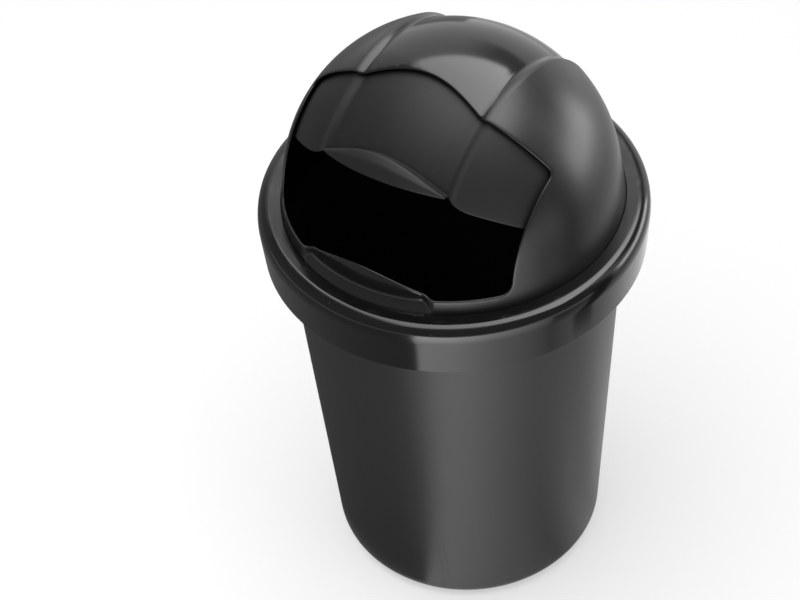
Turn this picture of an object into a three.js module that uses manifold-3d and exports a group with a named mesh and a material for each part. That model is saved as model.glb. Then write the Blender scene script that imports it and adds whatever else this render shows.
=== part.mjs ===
// A round swing-top bin: a tapered bucket, a collar that seats on its rim, a domed hood in the
// collar, and a flap that rolls up inside the hood about a level axis through the dome's centre.
// Millimetres, +Z up. The origin is the centre of the underside, and the mouth faces -Y.

import * as THREE from 'three';
import { mergeVertices } from 'three/addons/utils/BufferGeometryUtils.js';
import Module from 'manifold-3d';

// Bucket
const bucketHeight = 462;
const bucketBaseRadius = 149;
const bucketRimRadius = 175;
const bucketWall = 2.5;
const bucketCornerRadius = 22;
const footHeight = 2.5;
const footWidth = 10;
const rimReach = 3;
const rimDrop = 5;
const rimRounding = 1.5;

// Collar
const skirtDepth = 35;
const skirtDraftDeg = 3.7;
const collarWall = 2.7;
const swellRadius = 30;
const swellEndDeg = 15;
const beadRadius = 12;
const beadEndDeg = 112;
const beadHeight = 11.6;
const gutterWidth = 12.4;
const gutterDip = 1.2;
const ledgeWidth = 7;
const spigotDepth = 12;
const seatFloorHeight = 19.6;
const footFlangeHeight = 3;

// Dome
const domeInset = 4;
const domeWall = 2.5;
const domeFootReach = 3.3;
const domeSkirtHeight = 11.9;
const bandHalfWidth = 70;
const bandDepth = 5.5;
const creaseHalfWidth = 7;

// Mouth, as angles about the pivot axis, counted up from the front
const mouthSideInset = 36.5;
const mouthFlare = 2.5;
const mouthTopDeg = 72.8;
const mouthTopHumpDeg = 6.9;
const mouthBottomDeg = 1;
const mouthBottomHumpDeg = 6.5;
const mouthTopCorner = 6.5;
const mouthBottomCorner = 12;

// Flap, drawn closed
const flapGap = 3;
const flapWall = 2.5;
const flapSideOverlap = 6.5;
const flapTopDeg = 84;
const flapBottomDeg = -0.3;
const flapNotchWidth = 30;
const flapRestDeg = 38.7;
const earLowDeg = 18;
const earHighDeg = 64;
const earRun = 10;

// Grip lip across the middle of the flap
const lipGap = 2;
const lipSwell = 4.7;
const lipEndInset = 1;
const lipEndLiftDeg = 0.8;
const lipBottomDeg = 1;
const lipRidgeShare = 0.56;
const lipShelfShare = 0.76;
const lipFootShare = 0.95;
const lipTurnShare = 0.94;
const lipEdgeShare = 1.2;

// Pivots
const pinRadius = 4;
const pinHeadRadius = 8;
const pinHeadThickness = 2.5;
const hubRadius = 12;
const hubThickness = 4.5;
const bossRadius = 9;
const bossSkin = 1.2;

// Clearances
const seatGap = 0.3;
const runGap = 0.4;
const throatGap = 2;

// How finely the round shapes are stepped
const latheSteps = 60;
const domeSteps = 60;
const pinSteps = 20;
const weldDistance = 0.001;
const cutOverrun = 40;

// Sizes that follow
const bucketSlope = (bucketRimRadius - bucketBaseRadius) / bucketHeight;
const domeRadius = bucketRimRadius - domeInset;
const domeFootRadius = domeRadius + domeFootReach;
const seatFloorZ = bucketHeight + seatFloorHeight;
const footBottomZ = seatFloorZ + seatGap;
const footTopZ = footBottomZ + footFlangeHeight;
const pivotZ = footTopZ + domeSkirtHeight;
const domeInnerRadius = domeRadius - domeWall;
const flapRadius = domeInnerRadius - flapGap;
const mouthHalfWidth = domeRadius - mouthSideInset;
const flapHalfWidth = mouthHalfWidth + mouthFlare + flapSideOverlap;
const lipHalfWidth = bandHalfWidth - lipEndInset;
const lipReach = flapGap + domeWall + lipGap + flapWall + lipSwell;
const hubOuterX = flapRadius;
const hubInnerX = hubOuterX - hubThickness;
const bossFaceX = hubOuterX + runGap;
const bossHoleEndX = domeRadius - bossSkin;

const wasm = await Module();
wasm.setup();

const radians = THREE.MathUtils.degToRad;
const degrees = THREE.MathUtils.radToDeg;

// Solids

function signedVolume(position, index) {
  const [a, b, c] = [new THREE.Vector3(), new THREE.Vector3(), new THREE.Vector3()];
  let volume = 0;
  for (let i = 0; i < index.length; i += 3) {
    a.fromBufferAttribute(position, index[i]);
    b.fromBufferAttribute(position, index[i + 1]);
    c.fromBufferAttribute(position, index[i + 2]);
    volume += a.dot(b.cross(c));
  }
  return volume;
}

// Turns a closed geometry into a solid, whichever way its faces were wound.
function toSolid(geometry) {
  geometry.deleteAttribute('normal');
  geometry.deleteAttribute('uv');
  const merged = mergeVertices(geometry, weldDistance);
  const position = merged.getAttribute('position');
  const index = merged.getIndex().array;
  const outward = signedVolume(position, index) > 0;
  const triVerts = [];
  for (let i = 0; i < index.length; i += 3) {
    const [a, b, c] = [index[i], index[i + 1], index[i + 2]];
    if (a === b || b === c || c === a) continue;
    triVerts.push(a, outward ? b : c, outward ? c : b);
  }
  const vertProperties = new Float32Array(position.array);
  return new wasm.Manifold(new wasm.Mesh({ numProp: 3, vertProperties, triVerts: new Uint32Array(triVerts) }));
}

function toGeometry(solid) {
  const mesh = solid.getMesh();
  const geometry = new THREE.BufferGeometry();
  geometry.setAttribute('position', new THREE.BufferAttribute(mesh.vertProperties, mesh.numProp));
  geometry.setIndex(new THREE.BufferAttribute(mesh.triVerts, 1));
  geometry.computeVertexNormals();
  return geometry;
}

function toMesh(name, solid, material) {
  const mesh = new THREE.Mesh(toGeometry(solid), material);
  mesh.name = name;
  return mesh;
}

function joined(solids) {
  return solids.reduce((whole, solid) => whole.add(solid));
}

// Profiles are lists of points (radius, place along the axis).

function at(radius, along) {
  return new THREE.Vector2(radius, along);
}

function arc(centreRadius, centreAlong, radius, fromDeg, toDeg, steps) {
  const points = [];
  for (let i = 0; i <= steps; i += 1) {
    const angle = radians(fromDeg + (toDeg - fromDeg) * i / steps);
    points.push(at(centreRadius + radius * Math.cos(angle), centreAlong + radius * Math.sin(angle)));
  }
  return points;
}

function spunUpright(profile, steps) {
  const geometry = new THREE.LatheGeometry(profile, steps);
  geometry.rotateX(Math.PI / 2);
  return toSolid(geometry);
}

function spunLevel(profile, steps) {
  const geometry = new THREE.LatheGeometry(profile, steps);
  geometry.rotateZ(-Math.PI / 2);
  return toSolid(geometry);
}

function rod(radius, fromX, toX) {
  const profile = [at(0, fromX), at(radius, fromX), at(radius, toX), at(0, toX)];
  return spunLevel(profile, pinSteps);
}

function mirrored(solid) {
  return solid.scale([-1, 1, 1]);
}

// Bucket: a tapered wall on a low foot ring, with a thickened rim

function bucketRadiusAt(z) {
  return bucketBaseRadius + bucketSlope * z;
}

function makeBucket() {
  const draftDeg = degrees(Math.atan(bucketSlope));
  const cornerLift = bucketCornerRadius / Math.cos(radians(draftDeg)) - bucketCornerRadius * bucketSlope;
  const cornerRadiusPlace = bucketRadiusAt(0) - cornerLift;
  const innerCorner = bucketCornerRadius - bucketWall;
  const floorTop = footHeight + bucketWall;
  const innerCornerPlace = cornerRadiusPlace - footHeight * bucketSlope;
  const rimOuter = bucketRimRadius + rimReach;
  const rimUnderZ = bucketHeight - rimDrop;
  const footOuter = cornerRadiusPlace;
  const footInner = footOuter - footWidth;
  const profile = [
    at(0, footHeight),
    at(footInner, footHeight),
    at(footInner, 0),
    ...arc(cornerRadiusPlace, bucketCornerRadius, bucketCornerRadius, -90, -draftDeg, 5),
    at(bucketRadiusAt(rimUnderZ), rimUnderZ),
    at(rimOuter, rimUnderZ),
    ...arc(rimOuter - rimRounding, bucketHeight - rimRounding, rimRounding, 0, 90, 2),
    at(bucketRimRadius - bucketWall, bucketHeight),
    ...arc(innerCornerPlace, floorTop + innerCorner, innerCorner, -draftDeg, -90, 4),
    at(0, floorTop),
  ];
  return spunUpright(profile, latheSteps);
}

// Collar: the ring over the rim. A skirt swells into one round bead, and a shallow gutter runs in
// to the seam round the dome's foot. Its section is one closed loop, outside first.

function makeCollar() {
  const rimZ = bucketHeight;
  const skirtZ = rimZ - skirtDepth;
  const seatRadius = domeFootRadius + seatGap;
  const beadCentreRadius = seatRadius + gutterWidth;
  const beadCentreZ = rimZ + beadHeight;
  const swellCentreRadius = beadCentreRadius - (swellRadius - beadRadius) * Math.cos(radians(swellEndDeg));
  const swellCentreZ = beadCentreZ - (swellRadius - beadRadius) * Math.sin(radians(swellEndDeg));
  const skirtTopRadius = swellCentreRadius + swellRadius * Math.cos(radians(skirtDraftDeg));
  const skirtTopZ = swellCentreZ - swellRadius * Math.sin(radians(skirtDraftDeg));
  const skirtRadius = skirtTopRadius - (skirtTopZ - skirtZ) * Math.tan(radians(skirtDraftDeg));
  const seamZ = footTopZ - seatGap;
  const throatRadius = flapRadius + throatGap;
  const spigotOuter = bucketRadiusAt(rimZ - spigotDepth) - bucketWall - runGap;
  const spigotInner = spigotOuter - collarWall;
  const ledgeZ = rimZ + seatGap;
  const ledgeOuter = bucketRimRadius + ledgeWidth / 2;
  const seatUnderZ = seatFloorZ - collarWall;
  const innerBead = beadRadius - collarWall;
  const innerSwell = swellRadius - collarWall;
  const profile = [
    at(skirtRadius, skirtZ),
    ...arc(swellCentreRadius, swellCentreZ, swellRadius, -skirtDraftDeg, swellEndDeg, 3),
    ...arc(beadCentreRadius, beadCentreZ, beadRadius, swellEndDeg, beadEndDeg, 7).slice(1),
    at(seatRadius + gutterWidth / 3, seamZ - gutterDip),
    at(seatRadius, seamZ),
    at(seatRadius, seatFloorZ),
    at(throatRadius, seatFloorZ),
    at(throatRadius, seatUnderZ),
    at(spigotInner, seatUnderZ),
    at(spigotInner, rimZ - spigotDepth),
    at(spigotOuter, rimZ - spigotDepth),
    at(spigotOuter, ledgeZ),
    at(ledgeOuter, ledgeZ),
    at(ledgeOuter, ledgeZ + collarWall),
    at(spigotOuter, ledgeZ + collarWall),
    at(spigotOuter, seatUnderZ),
    at(seatRadius, seatUnderZ),
    ...arc(beadCentreRadius, beadCentreZ, innerBead, beadEndDeg, swellEndDeg, 5),
    ...arc(swellCentreRadius, swellCentreZ, innerSwell, swellEndDeg, -skirtDraftDeg, 2).slice(1),
    at(skirtRadius - collarWall, skirtZ),
  ];
  profile.push(profile[0].clone());
  return spunUpright(profile, latheSteps);
}

// The dome and the flap share one form: a ball about the pivot axis whose middle band is sunk.

function bandShare(x) {
  const across = (Math.abs(x) - bandHalfWidth) / creaseHalfWidth;
  return 1 - THREE.MathUtils.smoothstep(across, -1, 1);
}

function reachAt(x, ballRadius) {
  const ball = ballRadius - bandDepth * bandShare(x);
  return Math.sqrt(Math.max(ball * ball - x * x, 0));
}

function ballPlaces(ballRadius) {
  const creaseEnd = bandHalfWidth + creaseHalfWidth;
  const creaseDeg = degrees(Math.asin(creaseEnd / ballRadius));
  const half = [];
  for (const share of [0, 0.25, 0.5, 0.75]) half.push(share * (bandHalfWidth - creaseHalfWidth));
  for (const share of [-1, -0.5, 0, 0.5]) half.push(bandHalfWidth + share * creaseHalfWidth);
  const sideSteps = 10;
  for (let i = 0; i <= sideSteps; i += 1) {
    half.push(ballRadius * Math.sin(radians(creaseDeg + (90 - creaseDeg) * i / sideSteps)));
  }
  return [...half.slice(1).reverse().map((x) => -x), ...half];
}

function bandedBall(ballRadius) {
  const profile = ballPlaces(ballRadius).map((x) => at(reachAt(x, ballRadius), x));
  return spunLevel(profile, domeSteps);
}

// The same outline as the ball's level section, carried straight down
function bandedColumn(ballRadius, bottomZ, topZ) {
  const places = ballPlaces(ballRadius);
  const front = places.map((x) => at(x, -reachAt(x, ballRadius)));
  const back = places.slice(1, -1).reverse().map((x) => at(x, reachAt(x, ballRadius)));
  const outline = new THREE.Shape([...front, ...back]);
  const geometry = new THREE.ExtrudeGeometry(outline, { depth: topZ - bottomZ, bevelEnabled: false });
  geometry.translate(0, 0, bottomZ);
  return toSolid(geometry);
}

// A block between two reaches from the pivot axis, over an outline of points (x, angle in degrees)
function wedge(outline, innerReach, outerReach) {
  const contour = outline.map(([x, deg]) => at(x, deg));
  const count = contour.length;
  const place = (point, reach) => {
    const angle = radians(point.y);
    return [point.x, -reach * Math.cos(angle), reach * Math.sin(angle)];
  };
  const inner = contour.flatMap((point) => place(point, innerReach));
  const outer = contour.flatMap((point) => place(point, outerReach));
  const index = [];
  for (const [a, b, c] of THREE.ShapeUtils.triangulateShape(contour, [])) {
    index.push(a, b, c, count + a, count + c, count + b);
  }
  for (let i = 0; i < count; i += 1) {
    const next = (i + 1) % count;
    index.push(next, i, count + i, next, count + i, count + next);
  }
  const geometry = new THREE.BufferGeometry();
  geometry.setAttribute('position', new THREE.BufferAttribute(new Float32Array([...inner, ...outer]), 3));
  geometry.setIndex(index);
  return toSolid(geometry);
}

// Mouth: both its edges rise in one hump across the band

function humpAt(x) {
  const along = Math.min(Math.abs(x) / bandHalfWidth, 1);
  return Math.cos(along * Math.PI / 2);
}

function mouthBottomAt(x) {
  return mouthBottomDeg + mouthBottomHumpDeg * humpAt(x);
}

function mouthTopAt(x) {
  return mouthTopDeg + mouthTopHumpDeg * humpAt(x);
}

// A rounded corner of the mouth: its centre is pulled in by the corner's size along x and by angle.
function mouthCorner(sideX, edgeDeg, size, fromDeg, toDeg) {
  const inward = edgeDeg > mouthTopDeg / 2 ? -1 : 1;
  const sizeDeg = degrees(size / reachAt(sideX - size, domeRadius));
  return arc(0, 0, 1, fromDeg, toDeg, 5).map((unit) => [
    sideX - size + size * unit.x,
    edgeDeg + inward * sizeDeg + sizeDeg * unit.y,
  ]);
}

function mouthOutline() {
  const half = [];
  const humpSteps = 10;
  for (let i = 0; i <= humpSteps; i += 1) {
    const x = bandHalfWidth * i / humpSteps;
    half.push([x, mouthBottomAt(x)]);
  }
  half.push(...mouthCorner(mouthHalfWidth, mouthBottomDeg, mouthBottomCorner, -90, 0));
  half.push([mouthHalfWidth, mouthTopDeg / 2]);
  half.push(...mouthCorner(mouthHalfWidth + mouthFlare, mouthTopDeg, mouthTopCorner, 0, 90));
  for (let i = humpSteps; i >= 0; i -= 1) {
    const x = bandHalfWidth * i / humpSteps;
    half.push([x, mouthTopAt(x)]);
  }
  const other = half.slice(1, -1).reverse().map(([x, deg]) => [-x, deg]);
  return [...half, ...other];
}

// Dome

function makeDome() {
  const footDisc = spunUpright([
    at(0, footBottomZ - pivotZ),
    at(domeFootRadius, footBottomZ - pivotZ),
    at(domeFootRadius, footTopZ - pivotZ),
    at(0, footTopZ - pivotZ),
  ], latheSteps);
  const outside = joined([
    bandedBall(domeRadius),
    bandedColumn(domeRadius, footBottomZ - pivotZ, 0),
    footDisc,
  ]);
  const inside = joined([
    bandedBall(domeInnerRadius),
    bandedColumn(domeInnerRadius, footBottomZ - pivotZ - cutOverrun, 0),
  ]);
  const below = new THREE.BoxGeometry(domeRadius * 3, domeRadius * 3, domeRadius);
  below.translate(0, 0, footBottomZ - pivotZ - domeRadius / 2);
  const boss = rod(bossRadius, bossFaceX, domeInnerRadius + domeWall / 2);
  const bossHole = rod(pinRadius + seatGap, bossFaceX - domeWall, bossHoleEndX);
  const mouth = wedge(mouthOutline(), domeRadius / 2, domeRadius * 2);
  return outside
    .subtract(inside)
    .subtract(toSolid(below))
    .subtract(mouth)
    .add(boss)
    .add(mirrored(boss))
    .subtract(bossHole)
    .subtract(mirrored(bossHole));
}

// Flap and its grip lip, drawn closed about the pivot axis

const lipWallDeg = degrees(flapWall / reachAt(0, domeRadius));
const lipGapDeg = degrees(lipGap / reachAt(0, domeRadius));

function lipCrestAt(x) {
  const along = Math.min(Math.abs(x) / lipHalfWidth, 1);
  return mouthBottomAt(x) + lipGapDeg + lipWallDeg + lipEndLiftDeg * along ** 2;
}

function lipBottomAt(x) {
  const along = Math.min(Math.abs(x) / lipHalfWidth, 1);
  const endDeg = lipCrestAt(lipHalfWidth) - lipEdgeShare * lipWallDeg;
  return lipBottomDeg + (endDeg - lipBottomDeg) * along ** 2;
}

function lipReachAt(x) {
  const along = Math.min(Math.abs(x) / lipHalfWidth, 1);
  return lipReach * (1 - along ** 2) ** 0.2;
}

// One section across the lip: over the shelf and the ridge to the lower edge, and back inside
function lipSection(x) {
  const surface = reachAt(x, flapRadius);
  const crest = lipCrestAt(x);
  const bottom = lipBottomAt(x);
  const ridge = bottom + lipRidgeShare * (crest - bottom);
  const reach = lipReachAt(x);
  const root = crest + 2 * lipWallDeg;
  const outer = surface - flapWall / 5;
  const inner = surface - flapWall * 4 / 5;
  const rows = [
    [outer, root],
    [outer, crest],
    [surface + reach * lipShelfShare, crest - lipWallDeg / 4],
    [surface + reach * (lipShelfShare + 1) / 2, (crest + ridge) / 2],
    [surface + reach, ridge],
    [surface + reach * (lipFootShare + 1) / 2, (ridge + bottom) / 2],
    [surface + reach * lipFootShare, bottom],
    [surface + reach * lipFootShare - flapWall, bottom],
    [surface + reach - flapWall, ridge],
    [surface + reach * lipShelfShare - flapWall / 2, Math.max(crest - lipWallDeg, ridge)],
    [inner, crest - lipWallDeg],
    [inner, root],
  ];
  return rows.map(([reachOut, deg]) => {
    const angle = radians(deg);
    return [x, -reachOut * Math.cos(angle), reachOut * Math.sin(angle)];
  });
}

function makeLip() {
  const steps = 20;
  const sections = [];
  for (let i = 0; i <= steps; i += 1) {
    const turn = Math.PI * lipTurnShare * (i / steps - 0.5);
    sections.push(lipSection(lipHalfWidth * Math.sin(turn)));
  }
  const across = sections[0].length;
  const index = [];
  for (let i = 0; i < steps; i += 1) {
    for (let j = 0; j < across; j += 1) {
      const a = i * across + j;
      const b = i * across + (j + 1) % across;
      index.push(a, b, a + across, b, b + across, a + across);
    }
  }
  const last = steps * across;
  const flat = sections[0].map(([, y, z]) => at(y, z));
  for (const [a, b, c] of THREE.ShapeUtils.triangulateShape(flat, [])) {
    index.push(a, c, b, last + a, last + b, last + c);
  }
  const geometry = new THREE.BufferGeometry();
  geometry.setAttribute('position', new THREE.BufferAttribute(new Float32Array(sections.flat(2)), 3));
  geometry.setIndex(index);
  return toSolid(geometry);
}

function flapOutline() {
  const half = [];
  const lipSteps = 10;
  for (let i = 0; i <= lipSteps; i += 1) {
    const x = lipHalfWidth * i / lipSteps;
    half.push([x, lipCrestAt(x)]);
  }
  const notchTop = lipCrestAt(lipHalfWidth);
  for (const share of [0.15, 0.3, 0.5, 0.75, 1]) {
    const left = (1 - share) ** 3;
    half.push([lipHalfWidth + flapNotchWidth * share, flapBottomDeg + (notchTop - flapBottomDeg) * left]);
  }
  for (const [x, deg] of [[flapHalfWidth, flapBottomDeg], [flapHalfWidth, flapTopDeg]]) half.push([x, deg]);
  half.push([0, flapTopDeg]);
  const other = half.slice(1, -1).reverse().map(([x, deg]) => [-x, deg]);
  return [...half, ...other];
}

function earOutline() {
  const middleDeg = (flapTopDeg + flapBottomDeg) / 2;
  const overlapX = flapHalfWidth - earRun / 2;
  const neckX = flapHalfWidth + earRun;
  return [
    [overlapX, flapBottomDeg],
    [flapHalfWidth, flapBottomDeg],
    [neckX, earLowDeg],
    [flapRadius + earRun, earLowDeg],
    [flapRadius + earRun, middleDeg],
    [flapRadius + earRun, earHighDeg],
    [neckX, earHighDeg],
    [flapHalfWidth, flapTopDeg],
    [overlapX, flapTopDeg],
    [overlapX, middleDeg],
  ];
}

function makeFlap() {
  const shell = bandedBall(flapRadius).subtract(bandedBall(flapRadius - flapWall));
  const panel = wedge(flapOutline(), flapRadius / 3, flapRadius * 2);
  const ear = wedge(earOutline(), hubRadius / 2, flapRadius * 2);
  const hub = rod(hubRadius, hubInnerX, hubOuterX);
  const hubHole = rod(pinRadius + runGap, hubInnerX - hubThickness, hubOuterX + hubThickness);
  return shell
    .intersect(joined([panel, ear, mirrored(ear)]))
    .add(makeLip())
    .add(hub)
    .add(mirrored(hub))
    .subtract(hubHole)
    .subtract(mirrored(hubHole));
}

// Pivot pins: pushed outwards through the flap's hubs into the dome's bosses

function makePin() {
  const headInnerX = hubInnerX - runGap;
  const shank = rod(pinRadius, headInnerX - pinHeadThickness / 2, bossHoleEndX - seatGap);
  const head = rod(pinHeadRadius, headInnerX - pinHeadThickness, headInnerX);
  return shank.add(head);
}

// Finishes

function plastic(color, roughness) {
  return new THREE.MeshStandardMaterial({ color, roughness, metalness: 0 });
}

const bucketPlastic = plastic(0x4b4c4f, 0.55);
const collarPlastic = plastic(0x3f4043, 0.15);
const domePlastic = plastic(0x58595c, 0.35);
const flapPlastic = plastic(0x454649, 0.35);
const pinPlastic = plastic(0x303133, 0.5);

// Assembly

const bin = new THREE.Group();
bin.add(toMesh('bucket', makeBucket(), bucketPlastic));
bin.add(toMesh('collar', makeCollar(), collarPlastic));

const hood = new THREE.Group();
hood.position.z = pivotZ;
hood.add(toMesh('dome', makeDome(), domePlastic));
hood.add(toMesh('pivot_pin_right', makePin(), pinPlastic));
hood.add(toMesh('pivot_pin_left', mirrored(makePin()), pinPlastic));
bin.add(hood);

const flap = toMesh('flap', makeFlap(), flapPlastic);
flap.rotation.x = -radians(flapRestDeg);
hood.add(flap);

export default bin;
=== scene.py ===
# %% [markdown]
# # A swing-top bin, dressed on its fixed frame
# The bin has four mouldings: a tapered bucket, a glossy collar over its rim, a dome that stands
# in the collar, and a flap that rolls up inside the dome. The packed model fixes where each of
# them is. This lesson gives every moulding a fine surface and its own plastic, and lights them.

# %% Load the fixed frame
import math

import bmesh
import bpy
from mathutils import Matrix, Vector
from mathutils.geometry import delaunay_2d_cdt


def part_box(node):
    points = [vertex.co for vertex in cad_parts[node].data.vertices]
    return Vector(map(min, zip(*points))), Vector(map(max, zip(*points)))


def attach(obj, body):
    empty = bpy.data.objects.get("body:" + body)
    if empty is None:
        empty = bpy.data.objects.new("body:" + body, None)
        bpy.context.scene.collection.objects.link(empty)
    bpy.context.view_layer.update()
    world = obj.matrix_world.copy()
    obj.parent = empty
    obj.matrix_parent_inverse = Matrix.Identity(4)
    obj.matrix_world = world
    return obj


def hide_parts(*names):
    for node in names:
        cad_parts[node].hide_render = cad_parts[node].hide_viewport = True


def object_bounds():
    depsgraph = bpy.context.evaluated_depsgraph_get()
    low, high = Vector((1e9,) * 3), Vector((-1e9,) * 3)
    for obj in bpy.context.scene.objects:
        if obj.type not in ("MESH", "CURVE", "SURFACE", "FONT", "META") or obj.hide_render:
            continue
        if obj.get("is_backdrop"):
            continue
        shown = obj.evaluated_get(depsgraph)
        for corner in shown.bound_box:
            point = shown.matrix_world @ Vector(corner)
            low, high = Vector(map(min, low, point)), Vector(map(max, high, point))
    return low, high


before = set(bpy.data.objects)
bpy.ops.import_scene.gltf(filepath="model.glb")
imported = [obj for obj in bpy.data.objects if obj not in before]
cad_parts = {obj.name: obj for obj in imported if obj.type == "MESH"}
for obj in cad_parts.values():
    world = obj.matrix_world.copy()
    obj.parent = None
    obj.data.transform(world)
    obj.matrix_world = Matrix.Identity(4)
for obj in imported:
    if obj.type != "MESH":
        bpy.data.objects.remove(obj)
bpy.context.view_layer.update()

MM = 0.001


def millimetres(*values):
    """Lengths written in millimetres, as metres."""
    return [value * MM for value in values]


# %% [markdown]
# ## The camera
# A camera fit gave the distance, the height and the turn of the lens that took the picture: it
# stood right of the mouth and looked down at about 46 degrees. The angles are applied one after
# the other to a level camera, so that each of them can be read on its own.

# %% Place the camera
CAMERA_TURN = math.radians(34.56)
CAMERA_HEIGHT = math.radians(50.95)
CAMERA_PITCH = math.radians(45.69)
CAMERA_YAW = math.radians(-2.25)
CAMERA_ROLL = math.radians(-4.74)
CAMERA_DISTANCE = 2.5235
SENSOR_WIDTH = 36.0
FOCAL_IN_PIXELS = 2142.0
PHOTO_WIDTH = 800.0

turn = Matrix.Rotation(CAMERA_TURN, 3, "Z")
forward = Vector((
    math.sin(CAMERA_YAW) * math.cos(CAMERA_PITCH),
    math.cos(CAMERA_YAW) * math.cos(CAMERA_PITCH),
    -math.sin(CAMERA_PITCH),
))
level_right = Vector((math.cos(CAMERA_YAW), -math.sin(CAMERA_YAW), 0.0))
level_up = level_right.cross(forward)
right = math.cos(CAMERA_ROLL) * level_right + math.sin(CAMERA_ROLL) * level_up
up = math.cos(CAMERA_ROLL) * level_up - math.sin(CAMERA_ROLL) * level_right
place = Vector((0.0, -math.cos(CAMERA_HEIGHT), math.sin(CAMERA_HEIGHT))) * CAMERA_DISTANCE

camera_data = bpy.data.cameras.new("photo_camera")
camera_data.sensor_fit = "HORIZONTAL"
camera_data.sensor_width = SENSOR_WIDTH
camera_data.lens = SENSOR_WIDTH * FOCAL_IN_PIXELS / PHOTO_WIDTH
camera_data.clip_end = 50.0
camera = bpy.data.objects.new("photo_camera", camera_data)
bpy.context.scene.collection.objects.link(camera)
axes = Matrix((right, up, -forward)).transposed()
camera.matrix_world = Matrix.Translation(turn @ place) @ (turn @ axes).to_4x4()
bpy.context.scene.camera = camera
print("camera at", [round(v, 3) for v in camera.matrix_world.translation])
print("lens in millimetres:", round(camera_data.lens, 2))

# %% [markdown]
# ## Sizes that the mouldings share
# The frame fixes these sizes, so they are read from its boxes where a box shows them: the top of
# the dome, the width of the collar, the height of the bucket. The rest repeats the part's own
# lengths. The dome and the flap are balls about one level axis, the pivot axis.

# %% Read and name the shared sizes
_, bucket_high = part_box("bucket")
collar_low, collar_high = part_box("collar")
dome_low, dome_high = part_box("dome")

bucket_height = bucket_high.z
rim_radius, base_radius, bucket_wall = millimetres(175.0, 149.0, 2.5)
bucket_slope = (rim_radius - base_radius) / bucket_height
seat_gap, run_gap = millimetres(0.3, 0.4)
dome_radius, dome_wall, flap_gap, flap_wall = millimetres(171.0, 2.5, 3.0, 2.5)
foot_bottom, foot_radius = dome_low.z, dome_high.x
foot_height, skirt_height = millimetres(3.0, 11.9)
pivot_height = foot_bottom + foot_height + skirt_height
flap_radius = dome_radius - dome_wall - flap_gap
band_half, band_depth, crease_half = millimetres(70.0, 5.5, 7.0)
flap_rest = math.radians(38.7)
print("pivot axis at", round(pivot_height, 4), "dome top measured", round(dome_high.z, 4),
      "expected", round(pivot_height + dome_radius - band_depth, 4))

# %% [markdown]
# ## Arithmetic with sockets
# Geometry and shader trees both do sums with Math nodes. Writing out each node hides the sum,
# so one small class wraps a socket and turns Python's operators into Math nodes. One method adds
# any other node, from its type, its settings and its inputs.

# %% Define the socket class


class Wire:
    """An output socket of a node tree that can be used in sums."""

    def __init__(self, tree, socket):
        self.tree = tree
        self.socket = socket

    def sum(self, operation, *values):
        return add_node(self.tree, "ShaderNodeMath", {"operation": operation}, dict(enumerate(values)))

    def __add__(self, other):
        return self.sum("ADD", self, other)

    def __radd__(self, other):
        return self.sum("ADD", other, self)

    def __sub__(self, other):
        return self.sum("SUBTRACT", self, other)

    def __rsub__(self, other):
        return self.sum("SUBTRACT", other, self)

    def __mul__(self, other):
        return self.sum("MULTIPLY", self, other)

    def __rmul__(self, other):
        return self.sum("MULTIPLY", other, self)

    def __truediv__(self, other):
        return self.sum("DIVIDE", self, other)

    def __rtruediv__(self, other):
        return self.sum("DIVIDE", other, self)

    def __neg__(self):
        return self.sum("MULTIPLY", self, -1.0)

    def __abs__(self):
        return self.sum("ABSOLUTE", self)

    def root(self):
        return self.sum("SQRT", self)

    def most(self, other):
        return self.sum("MAXIMUM", self, other)

    def step(self, low, high):
        """0 below low, 1 above high and a smooth rise between them."""
        settings = {"interpolation_type": "SMOOTHSTEP"}
        values = {"Value": self, "From Min": low, "From Max": high}
        return add_node(self.tree, "ShaderNodeMapRange", settings, values)

    def near(self, centre, half):
        """1 at the centre, falling smoothly to 0 at half away from it."""
        return 1 - abs(self - centre).step(0.0, half)


def fill(tree, socket, value):
    """Links a wire to a socket, or sets a plain value on it."""
    if isinstance(value, Wire):
        tree.links.new(value.socket, socket)
    else:
        socket.default_value = value


def add_node(tree, kind, settings, values, output=0):
    """Adds a node: its settings first, then the values or links of its inputs."""
    node = tree.nodes.new(kind)
    for name, value in settings.items():
        setattr(node, name, value)
    for name, value in values.items():
        fill(tree, node.inputs[name], value)
    return Wire(tree, node.outputs[output])


print("operators ready:", [name for name in vars(Wire) if name.startswith("__r")])

# %% [markdown]
# ## Turned mouldings
# The bucket and the collar are round about the upright axis, as if turned on a lathe. Their rule
# is a section, so a Geometry Nodes tree makes them: the tree places the section's corners from
# named sizes, rounds each corner by its own amount, and carries the section round a circle. A
# Weighted Normal modifier after it keeps the straight walls straight in their reflections.

# %% Build a tree that turns a rounded section

PATH_RADIUS = 0.5
WELD = 2e-6
ROUND_STEPS = 288


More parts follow.
